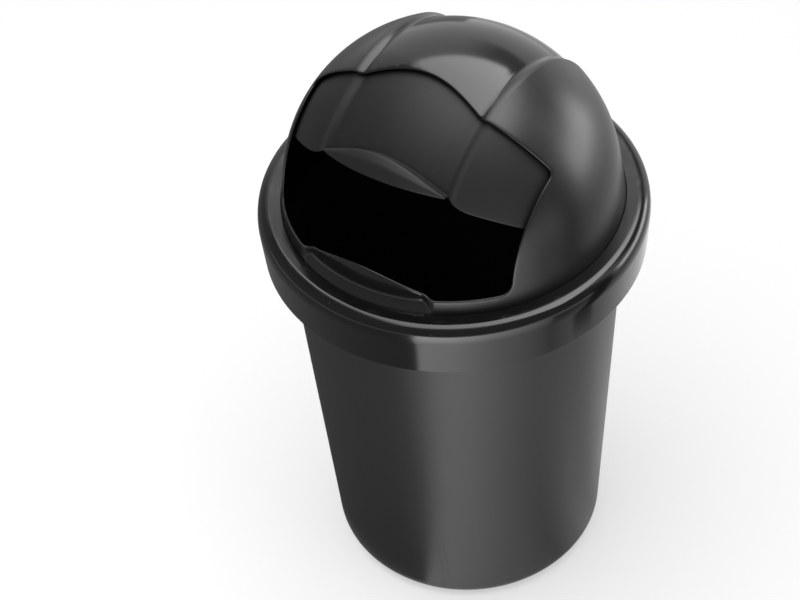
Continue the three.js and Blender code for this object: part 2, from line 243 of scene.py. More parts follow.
def turned_tree(name, sizes, corners_from, closed):
    """A tree whose inputs are the named sizes; corners_from turns them into section corners."""
    tree = bpy.data.node_groups.new(name, "GeometryNodeTree")
    tree.interface.new_socket("Geometry", in_out="OUTPUT", socket_type="NodeSocketGeometry")
    for label, value in sizes.items():
        made = tree.interface.new_socket(label, in_out="INPUT", socket_type="NodeSocketFloat")
        made.default_value = value
    steps = tree.interface.new_socket("Steps round", in_out="INPUT", socket_type="NodeSocketInt")
    steps.default_value = ROUND_STEPS
    tree.interface.new_socket("Plastic", in_out="INPUT", socket_type="NodeSocketMaterial")
    entry = tree.nodes.new("NodeGroupInput")
    given = {socket.name: Wire(tree, socket) for socket in entry.outputs if socket.name}
    corners = corners_from({label: given[label] for label in sizes})

    kind = "GeometryNodeMeshCircle" if closed else "GeometryNodeMeshLine"
    label = "Vertices" if closed else "Count"
    section = add_node(tree, kind, {}, {label: len(corners)})
    index = add_node(tree, "GeometryNodeInputIndex", {}, {})
    columns = {"place": ("VECTOR", []), "rounding": ("FLOAT", []), "steps": ("INT", [])}
    for radius, height, rounding, count in corners:
        point = add_node(tree, "ShaderNodeCombineXYZ", {}, {0: radius - PATH_RADIUS, 1: -height})
        for column, value in (("place", point), ("rounding", rounding), ("steps", count)):
            columns[column][1].append(value)
    fields = {}
    for column, (kind, values) in columns.items():
        node = tree.nodes.new("GeometryNodeIndexSwitch")
        node.data_type = kind
        while len(node.index_switch_items) < len(values):
            node.index_switch_items.new()
        fill(tree, node.inputs["Index"], index)
        for number, value in enumerate(values):
            fill(tree, node.inputs[number + 1], value)
        fields[column] = Wire(tree, node.outputs[0])

    values = {"Geometry": section, "Position": fields["place"]}
    placed = add_node(tree, "GeometryNodeSetPosition", {}, values)
    for column in ("rounding", "steps"):
        settings = {"data_type": columns[column][0]}
        values = {"Geometry": placed, "Name": column, "Value": fields[column]}
        placed = add_node(tree, "GeometryNodeStoreNamedAttribute", settings, values)
    stored = {}
    for column in ("rounding", "steps"):
        settings = {"data_type": columns[column][0]}
        stored[column] = add_node(tree, "GeometryNodeInputNamedAttribute", settings, {"Name": column})
    outline = add_node(tree, "GeometryNodeMeshToCurve", {}, {0: placed})
    outline = add_node(tree, "GeometryNodeFilletCurve", {"mode": "POLY"},
                       {"Curve": outline, "Radius": stored["rounding"], "Count": stored["steps"]})
    path = add_node(tree, "GeometryNodeCurvePrimitiveCircle", {},
                    {"Resolution": given["Steps round"], "Radius": PATH_RADIUS})
    path = add_node(tree, "GeometryNodeSetCurveNormal", {"mode": "Z_UP"}, {"Curve": path})
    skin = add_node(tree, "GeometryNodeCurveToMesh", {}, {"Curve": path, "Profile Curve": outline})
    skin = add_node(tree, "GeometryNodeMergeByDistance", {}, {"Geometry": skin, "Distance": WELD})
    skin = add_node(tree, "GeometryNodeSetShadeSmooth", {}, {"Geometry": skin})
    skin = add_node(tree, "GeometryNodeRealizeInstances", {}, {"Geometry": skin})
    values = {"Geometry": skin, "Material": given["Plastic"]}
    skin = add_node(tree, "GeometryNodeSetMaterial", {}, values)
    finish = tree.nodes.new("NodeGroupOutput")
    fill(tree, finish.inputs[0], skin)
    print(name, "tree:", len(tree.nodes), "nodes,", len(corners), "section corners")
    return tree


# %% Turn a tree into a plain mesh piece


def signed_volume(mesh):
    mesh.calc_loop_triangles()
    total = 0.0
    for triangle in mesh.loop_triangles:
        a, b, c = (mesh.vertices[i].co for i in triangle.vertices)
        total += a.dot(b.cross(c))
    return total / 6


def new_object(name, mesh):
    made = bpy.data.objects.new(name, mesh)
    bpy.context.scene.collection.objects.link(made)
    return made


def weighted(made):
    made.modifiers.new("straight_walls", "WEIGHTED_NORMAL").keep_sharp = True


def applied(made):
    """The object's evaluated mesh, on the object itself, with no modifier left."""
    graph = bpy.context.evaluated_depsgraph_get()
    mesh = bpy.data.meshes.new_from_object(made.evaluated_get(graph), depsgraph=graph)
    made.modifiers.clear()
    mesh.name = made.name
    made.data = mesh
    return made


def turned_piece(name, tree, material, round_steps=ROUND_STEPS):
    made = new_object(name, bpy.data.meshes.new(name))
    modifier = made.modifiers.new("turned", "NODES")
    modifier.node_group = tree
    for item in tree.interface.items_tree:
        if item.item_type == "SOCKET" and item.in_out == "INPUT":
            if item.name == "Plastic":
                modifier[item.identifier] = material
            if item.name == "Steps round":
                modifier[item.identifier] = round_steps
    applied(made)
    if signed_volume(made.data) < 0:
        made.data.flip_normals()
    weighted(made)
    applied(made)
    volume = signed_volume(made.data) * 1e6
    print(name, "has", len(made.data.polygons), "faces, volume", round(volume, 1), "cm3")
    return made


def finish_piece(made, body, slot, *nodes):
    """Says what the piece rides on and which nodes it stands for; slot is not used."""
    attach(made, body)
    if nodes:
        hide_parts(*nodes)
    return made


# %% [markdown]
# ## Plastics
# All the mouldings are near-black plastic, and they differ in how they scatter a reflection: the
# bucket has a fine grain, the collar is polished, the dome is satin with a glossier middle band.
# Each material is the Principled shader with its own grain, mould ripple, rubbed edges and fine
# dust, all worked out from Object coordinates, so nothing slides when a piece moves.

# %% Start a material and its common patterns


class Finish:
    """A Principled material that is being written, with handy coordinates."""

    def __init__(self, name, index):
        self.material = bpy.data.materials.new(name)
        self.material.use_nodes = True
        self.tree = self.material.node_tree
        self.shader = self.tree.nodes["Principled BSDF"]
        self.shader.inputs["IOR"].default_value = index
        self.object = self.node("ShaderNodeTexCoord", {}, {}, 3)
        self.x, self.y, self.z = self.parts(self.object)
        self.radius = (self.x * self.x + self.y * self.y).root()

    def node(self, kind, settings, values, output=0):
        return add_node(self.tree, kind, settings, values, output)

    def parts(self, vector):
        split = self.tree.nodes.new("ShaderNodeSeparateXYZ")
        self.tree.links.new(vector.socket, split.inputs[0])
        return [Wire(self.tree, socket) for socket in split.outputs]

    def stretched(self, along_x, along_y, along_z):
        """Object coordinates, scaled by axis."""
        scale = (along_x, along_y, along_z)
        return self.node("ShaderNodeMapping", {}, {"Vector": self.object, "Scale": scale})

    def around(self, turns, upward):
        """Coordinates that run round the upright axis and up it."""
        angle = self.node("ShaderNodeMath", {"operation": "ARCTAN2"}, {0: self.y, 1: self.x})
        values = {0: angle * turns, 1: self.z * upward, 2: self.radius * upward}
        return self.node("ShaderNodeCombineXYZ", {}, values)

    def noise(self, scale, detail=2.0, where=None, rough=0.5):
        values = {"Vector": where or self.object, "Scale": scale, "Detail": detail, "Roughness": rough}
        return self.node("ShaderNodeTexNoise", {"noise_dimensions": "3D"}, values)

    def cells(self, scale, where=None):
        values = {"Vector": where or self.object, "Scale": scale}
        return self.node("ShaderNodeTexVoronoi", {"feature": "F1"}, values)

    def blend(self, share, first, second):
        node = self.tree.nodes.new("ShaderNodeMix")
        node.data_type = "RGBA"
        fill(self.tree, node.inputs[0], share)
        for socket, value in ((node.inputs[6], first), (node.inputs[7], second)):
            fill(self.tree, socket, value)
        return Wire(self.tree, node.outputs[2])

    def set(self, label, value):
        fill(self.tree, self.shader.inputs[label], value)

    def glow_where(self, share):
        """Mixes in a plain white glow where share is 1."""
        glow = self.node("ShaderNodeEmission", {}, {"Strength": 1.0})
        mix = self.tree.nodes.new("ShaderNodeMixShader")
        fill(self.tree, mix.inputs[0], share)
        fill(self.tree, mix.inputs[1], Wire(self.tree, self.shader.outputs[0]))
        fill(self.tree, mix.inputs[2], glow)
        surface = self.tree.nodes["Material Output"].inputs["Surface"]
        fill(self.tree, surface, Wire(self.tree, mix.outputs[0]))

    def bump(self, height, depth, below=None):
        """A bump whose height of 1 stands depth metres proud."""
        values = {"Height": height, "Distance": depth, "Strength": 1.0}
        if below is not None:
            values["Normal"] = below
        return self.node("ShaderNodeBump", {}, values)


def grey(level, warmth=0.0):
    """A grey that leans to blue, as cheap black plastic does, or to brown with warmth."""
    return (level * (1 + warmth), level, level * (1.045 - warmth), 1.0)


print("finish class ready")

# %% [markdown]
# ## The bucket's plastic
# The bucket is polypropylene from an etched mould: a fine grain under 1 mm wide that blurs
# reflections into broad upright bands. It has slight flow streaks from bottom to top, two faint
# scuffs near the foot and a little dust. The grain is a Voronoi and a noise bump together, because
# an etched mould leaves small round pits and not waves.

# %% Write the bucket's plastic


def bucket_plastic():
    made = Finish("grained_bucket_plastic", index=1.5)
    pits = made.cells(1100.0)
    grain = made.noise(1700.0, 3.0)
    streaks = made.noise(1.0, 3.0, made.stretched(38.0, 38.0, 1.6))
    cloud = made.noise(7.0, 3.0)
    shade = 0.3 + 0.45 * streaks + 0.35 * cloud
    colour = made.blend(shade, grey(0.0105), grey(0.017))
    angle = made.node("ShaderNodeMath", {"operation": "ARCTAN2"}, {0: made.y, 1: made.x})
    scuffs = None
    for at, lean, top in ((-1.213, 0.34, 0.118), (-1.172, 0.42, 0.124)):
        line = (angle - at + lean * (made.z - 0.1)).near(0.0, 0.009)
        line = line * made.z.near(0.075, top - 0.062)
        scuffs = line if scuffs is None else scuffs.most(line)
    specks = made.cells(46.0).step(0.05, 0.035) * made.noise(9.0, 1.0).step(0.6, 0.72)
    colour = made.blend(specks * 0.35, colour, grey(0.11, 0.04))
    colour = made.blend(scuffs * 0.55, colour, grey(0.008))
    made.set("Base Color", colour)
    made.set("Roughness", 0.36 + 0.09 * streaks + 0.05 * cloud + 0.08 * scuffs)
    ripple = made.noise(1.0, 1.0, made.stretched(15.0, 15.0, 3.0))
    wave = made.bump(ripple, 0.0005)
    made.set("Normal", made.bump(pits * 0.7 + grain * 0.5, 0.00005, wave))
    return made.material


# %% [markdown]
# ## The collar's plastic
# The collar comes from a polished mould, so it mirrors the room with only a slight wobble. Use
# and the lid's lifting leave fine hairline scratches round it and a rubbed top on its bead. The
# scratches are noise that is stretched round the upright axis, because wear follows the turn.

# %% Write the collar's plastic


def collar_plastic():
    made = Finish("polished_collar_plastic", index=1.5)
    hairs = made.noise(1.0, 4.0, made.around(16.0, 2600.0), 0.7)
    cloud = made.noise(11.0, 3.0)
    dust = made.cells(150.0).step(0.12, 0.06) * made.noise(24.0, 2.0).step(0.55, 0.68)
    rub = made.radius.near(0.1874, 0.0060) * made.z.step(0.4845, 0.4856)
    rub = rub * made.noise(60.0, 3.0).step(0.5, 0.68)
    colour = made.blend(cloud, grey(0.003), grey(0.0055))
    colour = made.blend(rub * 0.08, colour, grey(0.10))
    colour = made.blend(dust * 0.3, colour, grey(0.12, 0.04))
    made.set("Base Color", colour)
    made.set("Roughness", 0.12 + 0.04 * cloud + 0.04 * hairs.step(0.55, 0.75) + 0.06 * rub + 0.2 * dust)
    ripple = made.noise(1.0, 1.0, made.around(2.6, 9.0))
    wave = made.bump(ripple, 0.0005)
    made.set("Normal", made.bump(hairs, 0.000001, wave))
    return made.material


# %% [markdown]
# ## The dome's and the flap's plastic
# The dome's sides are satin and spread the light softly, while the sunk band between the creases is
# smoother and mirrors the ceiling with a crisp edge. The mask for the band is a step on x. The flap
# is the same moulding with a softer sheen and more handling marks.
# Along each crease the base colour is lightened toward three times its grey: a painted highlight that
# stands for the shine on the crease.

# %% Write the dome's and the flap's plastic


def ball_plastic(name, side_rough, band_rough, base, marks, shine=0.5):
    made = Finish(name, index=1.5)
    made.shader.inputs["Specular IOR Level"].default_value = shine
    band = 1 - abs(made.x).step(0.064, 0.076)
    # crease marks a line along each crease: the colour paints a highlight there, and the roughness rises
    # on it.
    crease = abs(made.x).near(0.074, 0.005)
    cloud = made.noise(13.0, 3.0)
    grain = made.noise(1500.0, 2.0)
    smudge = made.noise(21.0, 4.0).step(0.52, 0.75) * marks
    dust = made.cells(120.0).step(0.1, 0.05) * made.noise(19.0, 2.0).step(0.56, 0.7)
    colour = made.blend(cloud, grey(base * 0.85), grey(base * 1.25))
    # Painted highlight: the crease line is lightened toward three times the base grey.
    colour = made.blend(crease * 0.35, colour, grey(base * 3.0))
    colour = made.blend(dust * 0.25, colour, grey(0.11, 0.04))
    made.set("Base Color", colour)
    rough = side_rough + (band_rough - side_rough) * band
    made.set("Roughness", rough + 0.04 * (cloud - 0.5) + 0.07 * smudge + 0.15 * dust + 0.14 * crease)
    ripple = made.noise(9.0, 1.0)
    wave = made.bump(ripple, 0.0006)
    made.set("Normal", made.bump(grain * (1 - 0.75 * band), 0.00003, wave))
    return made.material


def pin_plastic():
    made = Finish("matt_pin_plastic", index=1.46)
    cloud = made.noise(60.0, 3.0)
    made.set("Base Color", made.blend(cloud, grey(0.012), grey(0.02)))
    made.set("Roughness", 0.45 + 0.12 * cloud)
    made.set("Normal", made.bump(made.noise(1400.0, 2.0), 0.00004))
    return made.material


plastics = {
    "bucket": bucket_plastic(),
    "collar": collar_plastic(),
    "dome": ball_plastic("satin_dome_plastic", 0.33, 0.13, 0.0085, 0.4),
    "flap": ball_plastic("satin_flap_plastic", 0.56, 0.56, 0.006, 0.6, shine=0.36),
    "pin": pin_plastic(),
}
print("plastics:", ", ".join(material.name for material in plastics.values()))

# %% [markdown]
# ## The bucket
# The bucket is drawn from a core that must leave it, so its wall leans out from foot to rim. The
# section runs from the middle of the underside over the foot ring, up the wall, round the thick
# rim and down the inside. Each corner is a radius, a height, a rounding and its number of steps.

# %% Make the bucket

bucket_sizes = {
    "Base radius": base_radius,
    "Rim radius": rim_radius,
    "Height": bucket_height,
    "Wall": bucket_wall,
    "Foot corner": 0.022,
    "Foot height": 0.0025,
    "Foot width": 0.010,
    "Rim reach": bucket_high.x - rim_radius,
    "Rim drop": 0.005,
}


def bucket_corners(size):
    slope = (size["Rim radius"] - size["Base radius"]) / size["Height"]
    wall, height, foot = size["Wall"], size["Height"], size["Foot height"]
    rim_out = size["Rim radius"] + size["Rim reach"]
    rim_low = height - size["Rim drop"]
    foot_out = size["Base radius"] - size["Foot corner"] * 0.945
    foot_in = foot_out - size["Foot width"]
    floor_top = foot + wall
    return [
        (0.0, foot, 0.0, 1),
        (foot_in, foot, 0.0008, 3),
        (foot_in, 0.0, 0.0006, 3),
        (foot_out - 0.001, 0.0, 0.0, 1),
        (size["Base radius"], 0.0, size["Foot corner"] * 0.94, 16),
        (size["Rim radius"] - slope * size["Rim drop"], rim_low, 0.0010, 4),
        (rim_out, rim_low, 0.0008, 4),
        (rim_out, height, 0.0015, 8),
        (size["Rim radius"] - wall, height, 0.0014, 6),
        (size["Base radius"] - wall + slope * floor_top, floor_top, size["Foot corner"] - wall, 14),
        (0.0, floor_top, 0.0, 1),
    ]


bucket_tree = turned_tree("turned_bucket", bucket_sizes, bucket_corners, closed=False)
bucket = turned_piece("bucket_shell", bucket_tree, plastics["bucket"])
finish_piece(bucket, "bin", "bucket_plastic", "bucket")

# %% [markdown]
# ## The collar
# The collar hangs over the rim. Its skirt leans out and swells into one round bead, and a nearly
# level deck runs in to the seam round the dome. The swell and the bead are arcs that meet in a
# common tangent. An arc between two angles is the rounding of the corner where its end tangents
# meet, so one helper finds that corner. Inside are the seat for the dome's foot, a throat, a spigot
# that goes into the bucket and a ledge that rests on its rim.

# %% Make the collar

swell_radius, bead_radius = millimetres(30.0, 12.0)
DRAFT, SWELL_END, BEAD_END = [math.radians(angle) for angle in (-3.7, 15.0, 95.0)]
bead_reach = swell_radius - (swell_radius - bead_radius) * math.cos(SWELL_END)
spigot_depth = 0.012
collar_sizes = {
    "Seat radius": foot_radius + seat_gap,
    "Throat radius": flap_radius + 0.002,
    "Spigot radius": rim_radius - bucket_slope * spigot_depth - bucket_wall - run_gap,
    "Wall": 0.0027,
    "Swell radius": swell_radius,
    "Bead radius": bead_radius,
    "Bead centre": collar_high.x - bead_reach,
    "Bead centre height": bucket_height + 0.0116,
    "Skirt bottom": collar_low.z,
    "Seam height": foot_bottom + foot_height - seat_gap,
    "Seat height": foot_bottom - seat_gap,
    "Rim height": bucket_height,
}


def tangent_corner(centre, centre_height, radius, start, end):
    """The corner whose rounding by radius is the arc from start to end about a centre."""
    middle = (start + end) / 2
    far = radius * (1 / math.cos((end - start) / 2))
    return centre + far * math.cos(middle), centre_height + far * math.sin(middle)


def collar_corners(size):
    wall = size["Wall"]
    swell, bead = size["Swell radius"], size["Bead radius"]
    bead_at = (size["Bead centre"], size["Bead centre height"])
    swell_at = (bead_at[0] - (swell - bead) * math.cos(SWELL_END),
                bead_at[1] - (swell - bead) * math.sin(SWELL_END))
    low, seat, floor = size["Skirt bottom"], size["Seat radius"], size["Seat height"]
    throat, spigot = size["Throat radius"], size["Spigot radius"]
    skirt_rise = swell_at[1] + swell * math.sin(DRAFT) - low
    skirt = swell_at[0] + swell * math.cos(DRAFT) + skirt_rise * math.tan(DRAFT)
    ledge = size["Rim height"] + seat_gap
    ledge_out = spigot + 0.0071
    spigot_low = size["Rim height"] - spigot_depth
    under = floor - wall
    return [
        (skirt, low, 0.0011, 6),
        (*tangent_corner(*swell_at, swell, DRAFT, SWELL_END), swell * 0.995, 16),
        (*tangent_corner(*bead_at, bead, SWELL_END, BEAD_END), bead * 0.995, 32),
        (seat, size["Seam height"], 0.0007, 5),
        (seat, floor, 0.0002, 2),
        (throat, floor, 0.0004, 3),
        (throat, under, 0.0004, 3),
        (spigot - wall, under, 0.0004, 3),
        (spigot - wall, spigot_low, 0.0006, 3),
        (spigot, spigot_low, 0.0006, 3),
        (spigot, ledge, 0.0002, 2),
        (ledge_out, ledge, 0.0004, 3),
        (ledge_out, ledge + wall, 0.0004, 3),
        (spigot, ledge + wall, 0.0004, 3),
        (spigot, under, 0.0004, 3),
        (seat, under, 0.0006, 3),
        (*tangent_corner(*bead_at, bead - wall, SWELL_END, BEAD_END), (bead - wall) * 0.99, 16),
        (*tangent_corner(*swell_at, swell - wall, DRAFT, SWELL_END), (swell - wall) * 0.99, 10),
        (skirt - wall, low, 0.0008, 4),
    ]


collar_tree = turned_tree("turned_collar", collar_sizes, collar_corners, closed=True)
collar = turned_piece("collar_ring", collar_tree, plastics["collar"], 360)
finish_piece(collar, "lid", "collar_plastic", "collar")

# %% [markdown]
# ## Balls with a sunk band
# The dome and the flap follow one rule. At a distance x along the pivot axis the surface is a
# circle about that axis, and between the creases the ball is 5.5 mm smaller. A point of it has two
# angles: one along the axis and one up from the front. A flat map of those two angles can carry
# any outline, so the mouth and the flap are cut on the map and then bent onto the ball.

# %% Put map points on a ball


def sunk(x):
    """1 in the band, 0 on the sides and a smooth fall across the crease."""
    across = min(max((abs(x) - band_half) / crease_half * 0.5 + 0.5, 0.0), 1.0)
    return 1 - across * across * (3 - 2 * across)


def reach_at(x, ball):
    """The distance of the surface from the pivot axis at a place x along it."""
    inner = ball - band_depth * sunk(x)
    return math.sqrt(max(inner * inner - x * x, 0.0))


def flare_at(x, height, ball):
    """How far the dome's foot stands out from its ball at a height over the pivot axis."""
    foot = foot_radius - (dome_radius - ball)
    lean = math.acos(ball / math.hypot(foot, skirt_height)) - math.atan2(skirt_height, foot)
    level = max(height, -skirt_height)
    share = sunk(x)
    on_side = 0.0
    if level < ball * math.sin(lean):
        wall_out = math.sqrt(ball ** 2 - max(level, 0.0) ** 2)
        on_side = ball / math.cos(lean) - level * math.tan(lean) - wall_out
    in_band = (foot - ball + band_depth) * max(-level / skirt_height, 0.0) ** 2
    return on_side + (in_band - on_side) * share


def on_ball(side, rise, ball, raised=0.0):
    """side and rise are angles; the dome, which isn't raised, flares below its axis into a foot."""
    x = ball * math.sin(side)
    reach = reach_at(x, ball)
    if raised:
        turned = rise + raised
        return Vector((x, -reach * math.cos(turned), pivot_height + reach * math.sin(turned)))
    within = min(max(rise, 0.0), math.pi)
    spot = Vector((x, -reach * math.cos(within), reach * math.sin(within)))
    spot.z -= abs(rise - within) * dome_radius
    flare = flare_at(x, spot.z, ball)
    if flare > 0:
        spot.xy *= 1 + flare / spot.xy.length
    spot.z += pivot_height
    return spot


def side_of(x, ball):
    return math.asin(min(max(x / ball, -1.0), 1.0))


# %% Round the corners of an outline and step along it


def rounded_outline(corners, ball, spacing):
    """Corners (x, angle up, rounding) of a closed outline on a ball, as evenly spaced map points."""
    spots = [Vector((side_of(x, ball), angle)) for x, angle, _ in corners]
    points = []
    for number, here in enumerate(spots):
        rounding = corners[number][2]
        flat = Vector((ball, ball * math.cos(here.x)))
        back = (spots[number - 1] - here) * flat
        ahead = (spots[(number + 1) % len(spots)] - here) * flat
        room = min(back.length, ahead.length) * 0.48
        angle = back.angle(ahead)
        cut = min(rounding / math.tan(angle / 2), room) if rounding and angle < 3.1 else 0.0
        if not cut:
            points.append(here)
            continue
        back.normalize()
        ahead.normalize()
        centre = (back + ahead).normalized() * (cut / math.cos(angle / 2))
        radius = (back * cut - centre).length
        for step in range(9):
            chord = (back * cut).lerp(ahead * cut, step / 8) - centre
            spot = centre + chord.normalized() * radius
            points.append(here + Vector((spot.x / flat.x, spot.y / flat.y)))
    return evenly_spaced(points, ball, spacing)


def evenly_spaced(points, ball, spacing):
    """Points of a closed line on the map, evenly spaced on the ball itself."""
    ring = points + [points[0]]
    lengths = []
    for a, b in zip(ring, ring[1:]):
        narrow = math.cos((a.x + b.x) / 2)
        lengths.append(ball * math.hypot(b.x - a.x, (b.y - a.y) * narrow))
    total = sum(lengths)
    count = max(int(round(total / spacing)), 8)
    made, number, passed = [], 0, 0.0
    for step in range(count):
        target = total * step / count
        while number < len(lengths) - 1 and passed + lengths[number] < target:
            passed += lengths[number]
            number += 1
        share = (target - passed) / lengths[number] if lengths[number] else 0.0
        made.append(ring[number].lerp(ring[number + 1], share))
    return made


# %% [markdown]
# The map is filled with an even grid, finer across the creases, and a constrained triangulation
# joins the grid to the outline. The same triangles serve the outer and the inner face of the wall,
# and rows of a half circle between them round the cut edge, which is what catches the light.

# %% Cut a wall from the map


def inward_normals(outline, ball):
    """For each outline point, the map step of one metre into the plastic's open side."""
    made = []
    count = len(outline)
    area = sum(a.x * b.y - b.x * a.y for a, b in zip(outline, outline[1:] + outline[:1]))
    facing = 1 if area > 0 else -1
    for number, point in enumerate(outline):
        along = outline[(number + 1) % count] - outline[number - 1]
        narrow = max(math.cos(point.x), 0.08)
        step = Vector((-along.y * narrow, along.x)).normalized() * facing
        made.append(Vector((step.x / ball, step.y / narrow / ball)))
    return made


def inside(point, outline):
    hit = False
    j = len(outline) - 1
    for i, here in enumerate(outline):
        there = outline[j]
        if (here.y > point.y) != (there.y > point.y):
            if point.x < (there.x - here.x) * (point.y - here.y) / (there.y - here.y) + here.x:
                hit = not hit
        j = i
    return hit


def grid_lines(low, high, spacing, fine=()):
    """Even lines from low to high, with fine ones (centre, half width, count) in between."""
    count = int(math.ceil((high - low) / spacing))
    lines = [low + (high - low) * i / count for i in range(count + 1)]
    for centre, half, number in fine:
        lines = [v for v in lines if abs(v - centre) > half + spacing * 0.35]
        lines += [centre + half * (2 * i / (number - 1) - 1) for i in range(number)]
    return sorted(lines)


def wall_from_map(ball, wall, outline, hole, columns, rows, raised=0.0):
    """Vertices and faces of a wall with rounded cut edges; hole says which side is open."""
    rounding = wall / 2
    into_open = inward_normals(outline, ball) if hole else [-n for n in inward_normals(outline, ball)]
    rim = [point - step * rounding for point, step in zip(outline, into_open)]
    flat = []
    clear = 0.9 * (rim[1] - rim[0]).length
    low_x, high_x = min(p.x for p in rim) - clear, max(p.x for p in rim) + clear
    low_y, high_y = min(p.y for p in rim) - clear, max(p.y for p in rim) + clear
    segments = list(zip(rim, rim[1:] + rim[:1]))
    for x in columns:
        for y in rows:
            point = Vector((x, y))
            close = low_x < x < high_x and low_y < y < high_y
            if not close:
                if hole:
                    flat.append(point)
                continue
            if inside(point, rim) == hole:
                continue
            nearest = min((point - a.lerp(b, 0.5)).length for a, b in segments)
            if nearest > clear * 0.62:
                flat.append(point)
    start = len(flat)
    flat += rim
    count = len(rim)
    edges = [(start + i, start + (i + 1) % count) for i in range(count)]
    solved = delaunay_2d_cdt(flat, edges, [], 0, 1e-9, True)
    places, triangles, origins = solved[0], solved[2], solved[3]
    kept = []
    for triangle in triangles:
        middle = (places[triangle[0]] + places[triangle[1]] + places[triangle[2]]) / 3
        if inside(middle, rim) != hole:
            kept.append(tuple(triangle))
    to_new = {old: new for new, olds in enumerate(origins) for old in olds}
    rim_ids = [to_new[start + i] for i in range(count)]

    outer = [on_ball(p.x, p.y, ball, raised) for p in places]
    inner = [on_ball(p.x, p.y, ball - wall, raised) for p in places]
    vertices = outer + inner
    shift = len(outer)
    faces = kept + [(c + shift, b + shift, a + shift) for a, b, c in kept]
    previous = rim_ids
    turns = 6
    for turn_number in range(1, turns + 1):
        angle = math.pi * turn_number / turns
        if turn_number == turns:
            current = [i + shift for i in rim_ids]
        else:
            away = rounding * (1 - math.sin(angle))
            depth = rounding * (1 - math.cos(angle))
            current = []
            for point, step in zip(outline, into_open):
                spot = point - step * away
                current.append(len(vertices))
                vertices.append(on_ball(spot.x, spot.y, ball - depth, raised))
        for i in range(count):
            j = (i + 1) % count
            faces.append((previous[i], previous[j], current[j], current[i]))
        previous = current
    return vertices, faces, places, shift


def mesh_piece(name, parts, material):
    """One smooth mesh from several (vertices, faces) parts, with doubles merged."""
    work = bmesh.new()
    for vertices, faces in parts:
        made = [work.verts.new(v) for v in vertices]
        for face in faces:
            corners = [made[i] for i in face]
            if len(set(corners)) == len(corners):
                work.faces.new(corners)
    bmesh.ops.remove_doubles(work, verts=work.verts, dist=WELD)
    bmesh.ops.dissolve_degenerate(work, edges=work.edges, dist=WELD)
    bmesh.ops.recalc_face_normals(work, faces=work.faces)
    for face in work.faces:
        face.smooth = True
    open_edges = sum(not edge.is_manifold for edge in work.edges)
    mesh = bpy.data.meshes.new(name)
    work.to_mesh(mesh)
    work.free()
    mesh.materials.append(material)
    made = new_object(name, mesh)
    print(name, "has", len(mesh.polygons), "faces,", open_edges, "open edges")
    return made


# %% [markdown]
# ## The mouth and the dome
# The mouth is wide and rounded: its lower edge is level at the sides and humps up between the
# creases, and its top edge humps up too. The dome's wall goes over the top, and all round its foot
# it flares out to the seam, where it stands in the collar's seat.

# %% Draw the mouth on the map

mouth_half, mouth_flare = millimetres(134.5, 2.5)
mouth_low_corner, mouth_top_corner = millimetres(12.0, 6.5)
mouth_low, mouth_low_hump = math.radians(1.0), math.radians(6.5)
mouth_top, mouth_top_hump = math.radians(72.8), math.radians(6.9)
MAP_STEP = 0.0026


def hump_share(x):
    return math.cos(min(abs(x) / band_half, 1.0) * math.pi / 2)


def mouth_low_at(x):
    return mouth_low + mouth_low_hump * hump_share(x)


def mouth_top_at(x):
    return mouth_top + mouth_top_hump * hump_share(x)


def mouth_outline():
    """The mouth's outline as points of angles on the dome's ball."""
    places = [band_half * step / 32 for step in range(33)]
    half = [(x, mouth_low_at(x), 0.0) for x in places]
    half.append((mouth_half, mouth_low, mouth_low_corner))
    half.append((mouth_half + mouth_flare, mouth_top, mouth_top_corner))
    half += [(x, mouth_top_at(x), 0.0) for x in reversed(places)]
    other = [(-x, angle, rounding) for x, angle, rounding in reversed(half[1:-1])]
    return rounded_outline(half + other, dome_radius, MAP_STEP)


mouth = mouth_outline()
print("mouth outline:", len(mouth), "points")

# %% Make the dome's wall

STEP_ANGLE = 0.0042 / dome_radius
crease_side = side_of(band_half, dome_radius)
crease_width = crease_half * 1.15 / dome_radius / math.cos(crease_side)
skirt_drop, drop = skirt_height / dome_radius, (pivot_height - foot_bottom) / dome_radius
skirt_rows = [skirt_drop * share for share in (0.2, 0.4, 0.6, 0.75, 0.87, 1.0)] + [drop]
dome_columns = grid_lines(-math.pi / 2, math.pi / 2, STEP_ANGLE,
                          [(-crease_side, crease_width, 21), (crease_side, crease_width, 21)])
dome_rows = grid_lines(0.0, math.pi, STEP_ANGLE)
dome_rows = [-row for row in reversed(skirt_rows)] + dome_rows + [math.pi + row for row in skirt_rows]


def dome_wall_part():
    vertices, faces, places, shift = wall_from_map(
        dome_radius, dome_wall, mouth, True, dome_columns, dome_rows)
    for edge_row in (dome_rows[0], dome_rows[-1]):
        ring = sorted((p.x, i) for i, p in enumerate(places) if abs(p.y - edge_row) < 1e-7)
        ids = [i for _, i in ring]
        for a, b in zip(ids, ids[1:]):
            faces.append((a, b, b + shift, a + shift))
    return vertices, faces


# %% [markdown]
# The two pivot bosses are small turned rings. Hidden as they are, they still carry the pins, so
# they are made to size. One helper spins a short section about the pivot axis.

# %% Spin the dome's bosses


def spun_part(section, steps):
    """A ring about the pivot axis from a closed section of (radius, place along the axis)."""
    vertices, faces = [], []
    count = len(section)
    for step in range(steps):
        angle = 2 * math.pi * step / steps
        c, s = math.cos(angle), math.sin(angle)
        for radius, along in section:
            vertices.append(Vector((along, radius * c, pivot_height + radius * s)))
    for step in range(steps):
        following = (step + 1) % steps
        for number in range(count):
            after = (number + 1) % count
            faces.append((step * count + number, step * count + after,
                          following * count + after, following * count + number))
    return vertices, faces


def box_section(inner, outer, low, high, bevel):
    """A rectangle with cut corners, as radius and place along the axis."""
    return [
        (inner + bevel, low), (outer - bevel, low), (outer, low + bevel), (outer, high - bevel),
        (outer - bevel, high), (inner + bevel, high), (inner, high - bevel), (inner, low + bevel),
    ]


